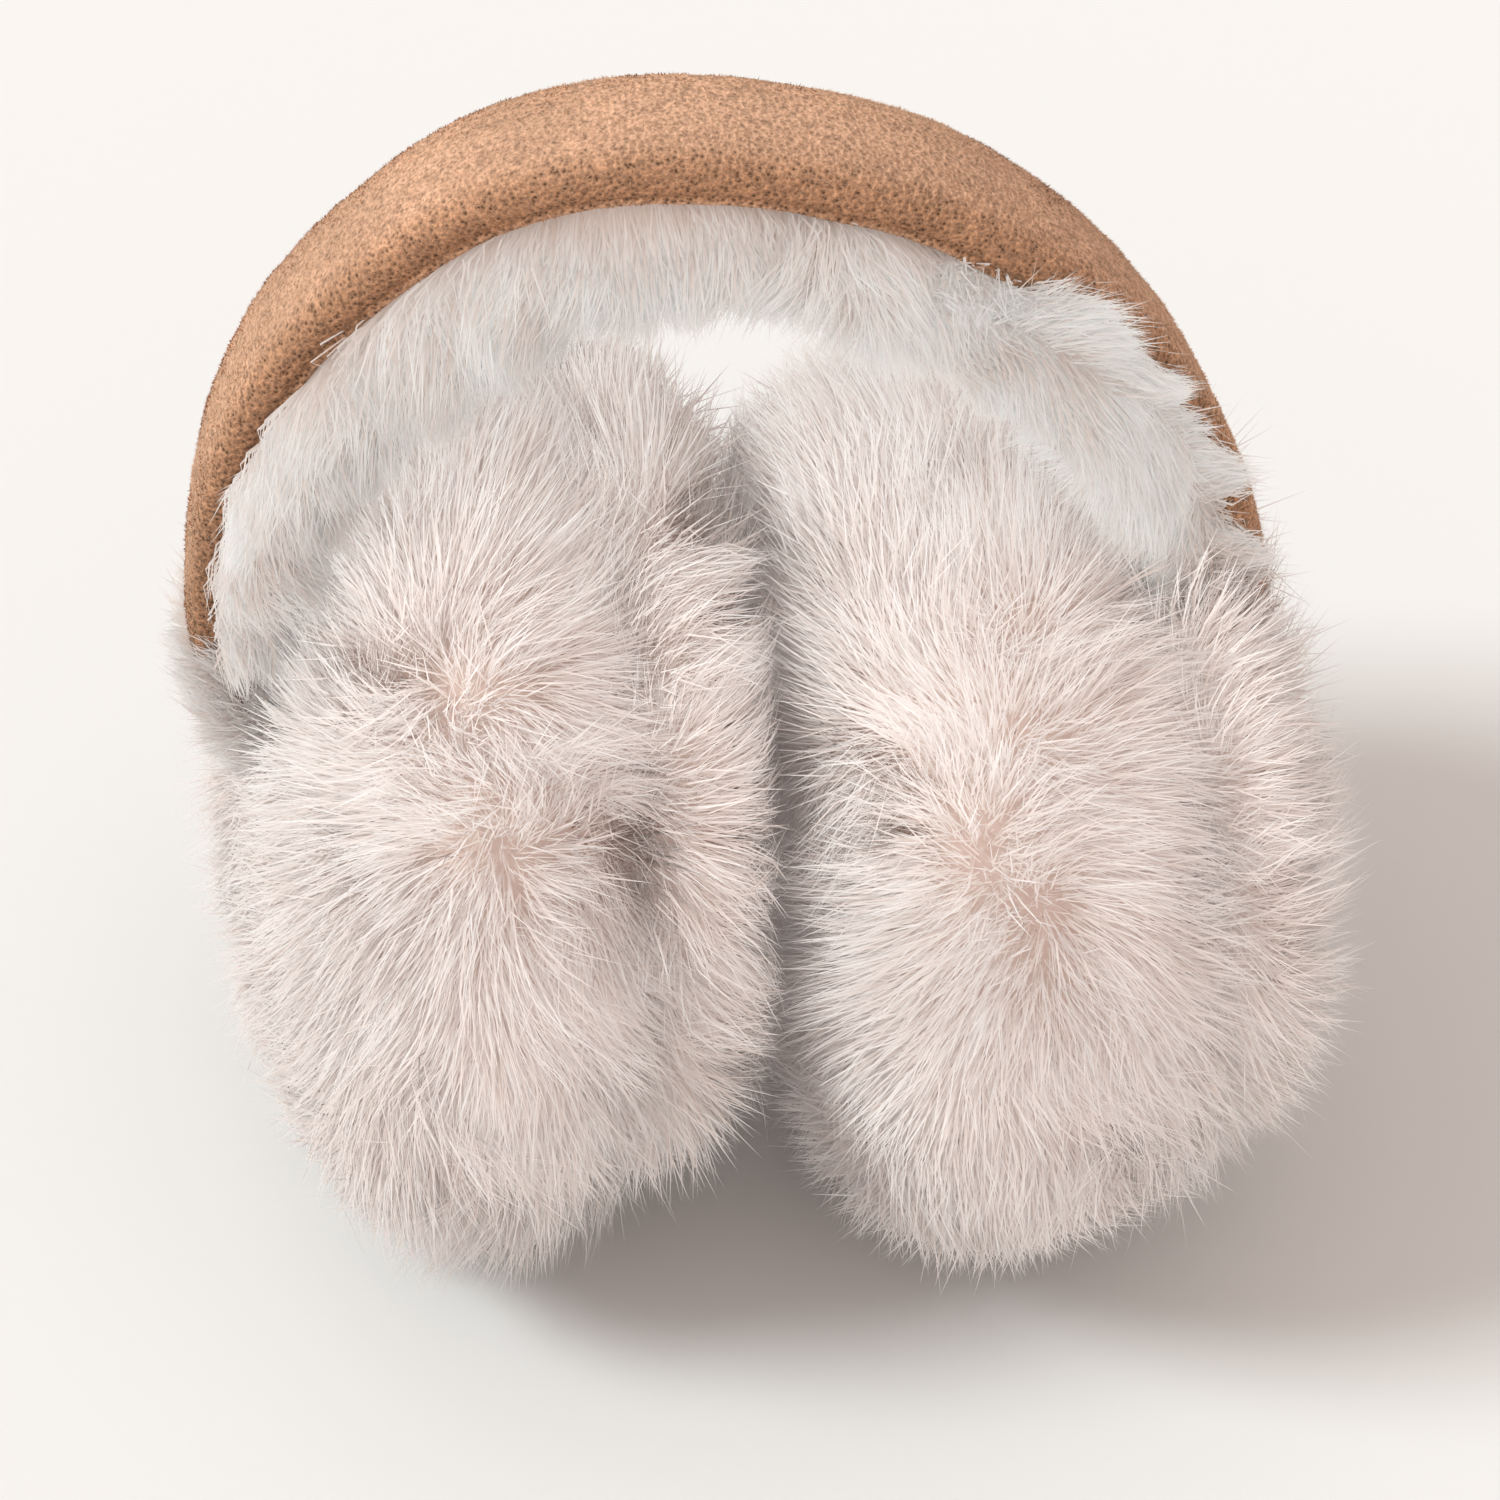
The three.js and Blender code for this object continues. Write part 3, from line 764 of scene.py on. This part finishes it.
def lining_hairs(fur, suede, count, seed):
    """The lining's hairs: on the left and at the crown they come out to the front and fall, past the crown
    they are combed along the band, and on the right arm they lie along it, turned inwards."""
    rng = np.random.default_rng(seed)
    order = (np.arange(count) + rng.random(count)) / count
    share = LINING_FROM + (LINING_TO - LINING_FROM) * order
    angle = np.pi * (0.74 + 1.5 * rng.random(count) ** 1.2)
    roots, normals, at = lining_at(share, angle, suede)
    right, arm = rising(share, 0.5, 0.68), rising(share, 0.72, 0.84)
    front, outwards, along = -at["sideways"], at["outwards"], at["along"]
    back = np.clip(-dot(normals, front), 0, 1)
    near_band = (1 + np.sin(angle)[:, None]) / 2
    wave = waves(roots, 0.02, seed + 1, 3)
    down = np.array([[0.0, 0.0, -1.0]])
    start = 0.5 * normals + 0.45 * front * (1 - back) * (1 - right) + (0.6 + 0.5 * back) * down
    start = start + 0.5 * along * right - 0.4 * outwards * arm
    fall = 0.2 * normals + 0.2 * front * (1 - back) + down
    sweep = 0.3 * normals + 0.6 * along + 0.45 * down + 0.15 * front * (1 - back)
    spread = 0.1 * front * (1 - back) + (0.3 * near_band - 0.8) * outwards + 0.6 * along
    end = unit(fall) * (1 - right) + unit(sweep) * right * (1 - arm) + unit(spread) * arm
    start = start + 0.2 * wave + 0.12 * rng.normal(size=roots.shape)
    curl = waves(roots, 0.009, seed + 5, 3)
    end = end + (0.35 + 0.2 * right) * wave + 0.3 * curl + 0.2 * rng.normal(size=roots.shape)
    length = np.interp(share, *zip(*LINING_LENGTHS))[:, None]
    length = length + 0.14 * rng.normal(size=(count, 1)) + 0.1 * waves(roots, 0.012, seed + 2)
    length = fur.lining_length * np.clip(length, 0.3, 1.3) * (1 - 0.35 * back)
    shade = unit(0.45 * normals + np.array([[-0.15, -0.5, 0.65]]))
    return combed(roots, start, end, length, shade, fur.hair_width, (0.15, 0.85), 0.55, seed, rng)


def rim_tufts(fur, suede, count, seed):
    """Spiky tufts along the lining's front edge on the right, that stand out over the suede."""
    rng = np.random.default_rng(seed)
    share = RIM_TUFTS[0] + (RIM_TUFTS[1] - RIM_TUFTS[0]) * rng.random(count) ** 1.3
    angle = np.pi * rng.uniform(0.74, 1.0, count)
    roots, normals, at = lining_at(share, angle, suede)
    wave = waves(roots, 0.012, seed + 1, 3)
    grown = rising(share, RIM_TUFTS[0], RIM_TUFTS[0] + 0.1)
    start = 0.9 * at["outwards"] * grown - 0.6 * at["sideways"] + 0.2 * rng.normal(size=roots.shape)
    end = 1.1 * at["outwards"] * grown - 0.15 * at["sideways"] + 0.3 * at["along"]
    end = end + 0.5 * wave + 0.25 * rng.normal(size=roots.shape)
    length = 0.66 + 0.16 * rng.normal(size=(count, 1)) + 0.2 * wave[:, :1] - 0.3 * rising(share, 0.66, 0.84)
    length = fur.lining_length * np.clip(length, 0.15, 1.1)
    shade = unit(0.3 * normals + np.array([[-0.12, -0.5, 0.65]]))
    return combed(roots, start, end, length, shade, fur.hair_width, (0.2, 0.85), 0.6, seed, rng)


def cuff_hairs(fur, suede, ends, towards_crown, count, seed):
    """Fur that closes round an end of the band: roots all round the band's section, between two shares of
    the arch, hairs leaning towards the crown and outwards."""
    rng = np.random.default_rng(seed)
    share = rng.uniform(*ends, count)
    angle = rng.uniform(0, 2 * np.pi, count)
    at = arch_at(share, suede.width, suede.thickness)
    halves = at["half_wide"], at["half_thick"]
    roots, normals = section_spots(at, at["middle"], *halves, angle, BAND_SQUARENESS)
    wave = waves(roots, 0.014, seed + 1, 3)
    up = at["along"] * towards_crown
    start = 0.5 * normals + 0.4 * at["outwards"] + 0.5 * up + 0.2 * rng.normal(size=roots.shape)
    end = 0.25 * normals + 0.5 * up + 0.3 * at["outwards"] + 0.3 * wave
    end = end + 0.25 * rng.normal(size=roots.shape)
    length = fur.length * np.clip(0.55 + 0.15 * rng.normal(size=(count, 1)), 0.25, 0.9)
    length *= 1 - 0.45 * np.clip(dot(normals, at["outwards"]), 0, 1)
    shade = unit(0.35 * normals + np.array([[0.0, -0.5, 0.5]]))
    return combed(roots, start, end, length, shade, fur.hair_width, (0.0, 0.6), 0.6, seed, rng)


def lining_fur(fur, suede, seed):
    """The whole lining: its backing, its hairs, the tufts on the right and the fur round the band's ends."""
    count = LINING_HAIRS
    (left, right), (left_part, right_part) = CUFFS, CUFF_PARTS
    return joined(
        [
            lining_backing(suede),
            lining_hairs(fur, suede, count, seed),
            rim_tufts(fur, suede, count // RIM_PART, seed + 10),
            cuff_hairs(fur, suede, left, 1, count // left_part, seed + 20),
            cuff_hairs(fur, suede, right, -1, count // right_part, seed + 30),
        ]
    )


def node(tree, kind, place, values=None, **settings):
    """A shader node at a place, with its settings and the values of its inputs."""
    made = tree.nodes.new(kind)
    made.location = place
    for name, value in settings.items():
        setattr(made, name, value)
    for name, value in (values or {}).items():
        made.inputs[name].default_value = value
    return made


def new_material(name):
    """A material, its shader tree with nothing but the output, and the output's way in."""
    material = bpy.data.materials.new(name)
    material.use_nodes = True
    tree = material.node_tree
    tree.nodes.clear()
    return material, tree, node(tree, "ShaderNodeOutputMaterial", (900, 0)).inputs["Surface"]


def map_numbers(tree, map_name, place):
    """The two numbers of a piece's map."""
    places = node(tree, "ShaderNodeUVMap", place, uv_map=map_name)
    parts = node(tree, "ShaderNodeSeparateXYZ", (place[0] + 200, place[1]))
    tree.links.new(places.outputs["UV"], parts.inputs["Vector"])
    return parts.outputs["X"], parts.outputs["Y"]


def ramp(tree, factor, stops, place):
    """A ramp of colours: each stop is a place and a colour or a grey."""
    made = node(tree, "ShaderNodeValToRGB", place)
    elements = made.color_ramp.elements
    elements.remove(elements[0])
    for index, (where, colour) in enumerate(stops):
        stop = elements[0] if index == 0 else elements.new(where)
        stop.position = where
        stop.color = (*np.broadcast_to(colour, 3), 1)
    tree.links.new(factor, made.inputs["Fac"])
    return made.outputs["Color"]


def product_of(tree, first, second, place):
    """Two colours multiplied."""
    made = node(tree, "ShaderNodeMix", place, {"Factor": 1}, data_type="RGBA", blend_type="MULTIPLY")
    tree.links.new(first, made.inputs[6])
    tree.links.new(second, made.inputs[7])
    return made.outputs[2]


def noise(tree, vector, scale, detail, place):
    """Noise at a scale per metre."""
    values = {"Scale": scale, "Detail": detail, "Roughness": 0.65}
    made = node(tree, "ShaderNodeTexNoise", place, values)
    tree.links.new(vector, made.inputs["Vector"])
    return made.outputs["Fac"]


def pits(tree, vector, scale, place):
    """How far each spot is from the nearest of scattered points, in a pattern with a scale per metre."""
    made = node(tree, "ShaderNodeTexVoronoi", place, {"Scale": scale}, feature="F1")
    tree.links.new(vector, made.inputs["Vector"])
    return made.outputs["Distance"]


def suede_shader(tree, place):
    """A rough, softly glowing surface without gloss."""
    values = {
        "Roughness": 0.95,
        "Specular IOR Level": 0.1,
        "Sheen Weight": 0.25,
        "Sheen Roughness": 0.5,
        "Sheen Tint": (*srgb(240, 206, 174), 1),
    }
    return node(tree, "ShaderNodeBsdfPrincipled", place, values)


def fur_material(sizes):
    """Plush fur: each hair runs from a pinkish root to a creamy tip, and its tone makes it paler or
    warmer. Part of the light goes through the hair."""
    material, tree, output = new_material("plush_fur")
    tone, along = map_numbers(tree, FUR_MAP, (-800, 0))
    tone = ramp(tree, tone, ((0.0, srgb(232, 217, 209)), (0.8, 1.0)), (-350, -150))
    along = ramp(tree, along, ((0.0, sizes.root), (0.75, sizes.tip)), (-350, 150))
    colour = product_of(tree, along, tone, (50, 0))
    values = {"Roughness": 0.85, "Specular IOR Level": 0.25, "Sheen Weight": 0.15}
    surface = node(tree, "ShaderNodeBsdfPrincipled", (400, 150), values)
    through = node(tree, "ShaderNodeBsdfTranslucent", (400, -350))
    mix = node(tree, "ShaderNodeMixShader", (700, 0), {"Fac": HAIR_THROUGH})
    links = (
        (colour, surface.inputs["Base Color"]),
        (colour, through.inputs["Color"]),
        (surface.outputs["BSDF"], mix.inputs[1]),
        (through.outputs["BSDF"], mix.inputs[2]),
        (mix.outputs["Shader"], output),
    )
    for start, end in links:
        tree.links.new(start, end)
    return material


def suede_material(sizes):
    """Suede: a tan skin with light and shade painted round its section, fine dark pits, coarser nap, soft
    brushed patches and a bump from the pits.
    """
    material, tree, output = new_material("tan_suede")
    surface = suede_shader(tree, (600, 0))
    share_round, share_along = map_numbers(tree, SUEDE_MAP, (-1100, 400))
    space = node(tree, "ShaderNodeTexCoord", (-1100, 0)).outputs["Object"]
    grain = noise(tree, space, 2300, 2, (-850, 150))
    nap = noise(tree, space, 800, 3, (-850, -100))
    patches = noise(tree, space, 60, 3, (-850, -350))
    pitted = pits(tree, space, 1250, (-850, -600))
    tan = np.array(sizes.colour)
    # Painted light and shade round the section: the top lighter, the front darker, the hem lit and painted
    # shadow lines beside it
    tones = [(where, np.minimum(tan * tone**SUEDE_SHADE_HUE, 1)) for where, tone in SUEDE_PAINTED_LIGHT]
    colour = ramp(tree, share_round, tones, (-600, 400))
    for index, (factor, stops) in enumerate(
        (
            (share_along, ARM_TONES),
            (grain, ((0.3, 0.5), (0.5, 1.0), (0.7, 1.2))),
            (nap, ((0.32, 0.7), (0.52, 1.0), (0.75, 1.1))),
            (patches, ((0.35, 0.88), (0.65, 1.06))),
            (pitted, ((0.08, 0.16), (0.32, 0.85), (0.6, 1.25))),
        )
    ):
        place = (-600, 150 - 250 * index)
        colour = product_of(tree, colour, ramp(tree, factor, stops, place), (-250 + 180 * index, 200))
    pits_shown = colour.node.inputs["Factor"]
    tree.links.new(ramp(tree, share_round, PIT_SHARES, (-250, -600)), pits_shown)
    bump = node(tree, "ShaderNodeBump", (200, -250), {"Strength": 0.8, "Distance": 0.0005})
    tree.links.new(pitted, bump.inputs["Height"])
    tree.links.new(colour, surface.inputs["Base Color"])
    tree.links.new(bump.outputs["Normal"], surface.inputs["Normal"])
    tree.links.new(surface.outputs["BSDF"], output)
    return material


def nap_material(sizes):
    """Suede fibres: dark at the root and light at the tip, and as light as their tone, which carries the
    suede's painted light and shade.
    """
    material, tree, output = new_material("suede_nap")
    surface = suede_shader(tree, (600, 0))
    tone, along = map_numbers(tree, FUR_MAP, (-800, 0))
    light = np.minimum(np.array(sizes.colour) * 1.45, 1)
    tone = ramp(tree, tone, ((0.0, 0.0), (1.0, light)), (-350, 150))
    along = ramp(tree, along, ((0.0, 0.7), (1.0, 1.1)), (-350, -150))
    tree.links.new(product_of(tree, tone, along, (0, 0)), surface.inputs["Base Color"])
    tree.links.new(surface.outputs["BSDF"], output)
    return material


def suede_spots(place, turn, sizes):
    """Points and outward normals of the band's skin at shares of the arch and angles round its section: a
    padded section with a rolled hem along its front edge and a groove above the hem."""
    at = arch_at(place, sizes.width, sizes.thickness)
    halves = at["half_wide"], at["half_thick"]
    points, normals = section_spots(at, at["middle"], *halves, turn, BAND_SQUARENESS)
    share_round = turn / (2 * np.pi)
    rolled = sum(
        height * np.exp(-(((share_round - where) / spread) ** 2)) for where, height, spread in HEM_RIDGES
    )
    uneven = waves(points, 0.02, 5) * 0.0001 + waves(points, 0.006, 6) * 0.00006
    return points + normals * (rolled[:, None] * rising(place, 0.0, 0.12) + uneven), normals, at


def suede_surface(sizes):
    """The band's skin, finer round its hem and drawn in to a point at each end. The map gives the share of
    the way round the section and along the arch."""
    rows, columns = 420, 90
    even = np.linspace(0, 1, 2000)
    finer = np.cumsum(1 + 3 * np.exp(-(((even - 0.57) / 0.04) ** 2)))
    finer = (finer - finer[0]) / (finer[-1] - finer[0])
    angle = np.interp(np.arange(columns) / columns, finer, even) * 2 * np.pi
    place, turn = np.repeat(np.linspace(0, 1, rows), columns), np.tile(angle, rows)
    points, _, at = suede_spots(place, turn, sizes)
    tip = at["half_thick"][0] / 2
    ends = at["middle"][[0, -1]] + at["along"][[0, -1]] * tip * np.array([[-1], [1]]) + arch_shift()
    points = np.concatenate([ends[:1], points, ends[1:]])
    places = np.stack([turn / (2 * np.pi), place], 1)
    places = np.concatenate([[[0.5, 0.0]], places, [[0.5, 1.0]]])
    return points, grid_faces(rows, columns)[:, ::-1], places


def suede_fibres(sizes, seed):
    """Raised fibres as single slips that lean along the arch and down the front, brushed in patches. The
    map gives a fibre's tone, which follows the light and shade painted round the band's section and so is
    darker on the front, and the share of the way from its root to its tip."""
    rng = np.random.default_rng(seed)
    count = sizes.fibres
    place = rng.uniform(0.02, 0.98, count)
    turn = np.pi * rng.uniform(-0.05, 1.2, count)
    roots, normals, at = suede_spots(place, turn % (2 * np.pi), sizes)
    wave = waves(roots, 0.012, seed + 1, 3)
    lay = flattened(0.8 * at["along"] - 0.4 * at["sideways"] + 0.9 * wave, normals)
    lay = unit(lay + 0.6 * rng.normal(size=roots.shape))
    lean = rng.uniform(0.6, 1.45, (count, 1))
    length = sizes.nap * rng.uniform(0.5, 1.3, (count, 1))
    tips = roots + (normals * np.cos(lean) + flattened(lay, normals) * np.sin(lean)) * length
    tips, _ = gathered(roots, tips, FIBRE_TUFT, 0.45, seed + 2)
    half = unit(np.cross(tips - roots, normals)) * rng.uniform(0.00004, 0.00009, (count, 1))
    points = np.stack([roots - half, roots + half, tips], 1).reshape(-1, 3)
    faces = np.arange(count * 3).reshape(-1, 3)
    # The fibres take the painted light and shade round the band's section: lighter on top, darker on the
    # front
    painted_light_tone = np.interp(turn / (2 * np.pi), *zip(*SUEDE_PAINTED_LIGHT))
    tone = np.clip(painted_light_tone * 0.7 + 0.1 * rng.normal(size=count) + 0.04 * wave[:, 0], 0.02, 0.98)
    places = map_places(tone, (-1, 1, 0), (0.05, 0.05, 1.0))
    return points, faces, places, np.repeat(normals, 3, axis=0)


def sun_lamp(name, strength, spread, colour, turn):
    """A lamp that shines from far away, with its spread in degrees."""
    light = bpy.data.lights.new(name, "SUN")
    light.energy = strength
    light.angle = math.radians(spread)
    light.color = colour
    lamp = bpy.data.objects.new(name, light)
    lamp.rotation_euler = turn
    bpy.context.scene.collection.objects.link(lamp)
    return lamp


class EARMUFFS_OT_suede_band(bpy.types.Operator):
    """Make the padded suede headband"""

    bl_idname = "earmuffs.suede_band"
    bl_label = "Suede Band"

    def execute(self, context):
        sizes = context.scene.earmuff_suede
        cover = new_piece("suede_band_cover", *suede_surface(sizes), map_name=SUEDE_MAP)
        cover.data.materials.append(suede_material(sizes))
        stand_for(cover, "suede_band")
        nap = new_piece("suede_band_nap", *suede_fibres(sizes, 7))
        nap.data.materials.append(nap_material(sizes))
        nap.visible_shadow = cover.visible_shadow = False
        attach(nap, "root")
        return {"FINISHED"}


class EARMUFFS_OT_lining(bpy.types.Operator):
    """Make the fur lining under the headband"""

    bl_idname = "earmuffs.lining"
    bl_label = "Fur Lining"

    def execute(self, context):
        fur, suede = context.scene.earmuff_fur, context.scene.earmuff_suede
        piece = new_piece("band_lining_fur", *lining_fur(fur, suede, 11))
        piece.data.materials.append(bpy.data.materials.get("plush_fur") or fur_material(fur))
        piece.visible_shadow = False
        stand_for(piece, "band_lining")
        return {"FINISHED"}


class EARMUFFS_OT_muffs(bpy.types.Operator):
    """Make the two plush ear muffs, each of two rounds"""

    bl_idname = "earmuffs.muffs"
    bl_label = "Ear Muffs"

    def execute(self, context):
        fur = context.scene.earmuff_fur
        material = bpy.data.materials.get("plush_fur") or fur_material(fur)
        for place, (muff, outer_round, share) in enumerate(ROUND_HAIRS, 1):
            node_name = f"{muff}_{'outer' if outer_round else 'inner'}"
            parts = round_fur(muff, outer_round, fur, int(fur.hairs * share), 100 * place)
            piece = new_piece(f"{node_name}_fur", *parts)
            piece.data.materials.append(material)
            stand_for(piece, node_name)
        return {"FINISHED"}


class EARMUFFS_OT_stage(bpy.types.Operator):
    """Make the floor, the soft light and the camera"""

    bl_idname = "earmuffs.stage"
    bl_label = "Stage"

    def execute(self, context):
        scene, sizes = context.scene, context.scene.earmuff_stage
        corners = np.array([[-1, -1, 0], [1, -1, 0], [1, 1, 0], [-1, 1, 0]]) * FLOOR_REACH
        floor = new_piece("floor", corners, np.array([[0, 1, 2], [0, 2, 3]]))
        material = bpy.data.materials.new("pale_floor")
        material.use_nodes = True
        surface = material.node_tree.nodes["Principled BSDF"]
        surface.inputs["Base Color"].default_value = (*sizes.floor, 1)
        surface.inputs["Roughness"].default_value = 0.9
        surface.inputs["Specular IOR Level"].default_value = 0.1
        floor.data.materials.append(material)

        travel = unit(np.array(KEY_TRAVEL))
        turn = (math.acos(-travel[2]), 0, math.atan2(travel[1], travel[0]) - math.pi / 2)
        sun_lamp("key_light", sizes.key, KEY_SPREAD, KEY_COLOUR, turn)
        turn = (math.radians(FUR_LIGHT_TILT), 0, 0)
        glow = sun_lamp("fur_light", sizes.glow, FUR_LIGHT_SPREAD, FUR_LIGHT_COLOUR, turn)
        glow.data.use_shadow = False
        furred = bpy.data.collections.new("furred")
        for piece in bpy.data.objects:
            if "_muff_" in piece.name:
                furred.objects.link(piece)
        glow.light_linking.receiver_collection = furred

        world = scene.world or bpy.data.worlds.new("World")
        scene.world = world
        world.use_nodes = True
        background = world.node_tree.nodes["Background"]
        background.inputs["Color"].default_value = SKY_COLOUR
        background.inputs["Strength"].default_value = sizes.fill
        scene.view_settings.view_transform = "Standard"
        scene.cycles.max_bounces = LIGHT_BOUNCES
        scene.cycles.diffuse_bounces = LIGHT_BOUNCES
        scene.cycles.transmission_bounces = 1

        lens = bpy.data.cameras.new("camera")
        lens.lens = CAMERA_LENS
        lens.clip_start = 0.05
        camera = bpy.data.objects.new("camera", lens)
        elevation = math.radians(CAMERA_ELEVATION)
        x, y, z = CAMERA_TARGET
        camera.location = (
            x,
            y - CAMERA_DISTANCE * math.cos(elevation),
            z + CAMERA_DISTANCE * math.sin(elevation),
        )
        camera.rotation_euler = (math.pi / 2 - elevation, 0, 0)
        scene.collection.objects.link(camera)
        scene.camera = camera
        return {"FINISHED"}


class EARMUFFS_PT_panel(bpy.types.Panel):
    """The earmuffs' sizes and the buttons that make their pieces"""

    bl_idname = "EARMUFFS_PT_panel"
    bl_label = "Fur Earmuffs"
    bl_space_type = "VIEW_3D"
    bl_region_type = "UI"
    bl_category = "Earmuffs"

    def draw(self, context):
        for group in (context.scene.earmuff_suede, context.scene.earmuff_fur, context.scene.earmuff_stage):
            box = self.layout.box()
            for name in group.__annotations__:
                box.prop(group, name)
        for operator in OPERATORS:
            self.layout.operator(operator.bl_idname)


OPERATORS = (EARMUFFS_OT_suede_band, EARMUFFS_OT_lining, EARMUFFS_OT_muffs, EARMUFFS_OT_stage)
GROUPS = {"earmuff_suede": SuedeSizes, "earmuff_fur": FurSizes, "earmuff_stage": StageSizes}
CLASSES = (*GROUPS.values(), *OPERATORS, EARMUFFS_PT_panel)


def register():
    for made in CLASSES:
        bpy.utils.register_class(made)
    for name, group in GROUPS.items():
        setattr(bpy.types.Scene, name, PointerProperty(type=group))


def unregister():
    for name in GROUPS:
        delattr(bpy.types.Scene, name)
    for made in reversed(CLASSES):
        bpy.utils.unregister_class(made)


def main():
    register()
    bpy.ops.earmuffs.suede_band()
    bpy.ops.earmuffs.lining()
    bpy.ops.earmuffs.muffs()
    bpy.ops.earmuffs.stage()


if __name__ == "__main__":
    main()
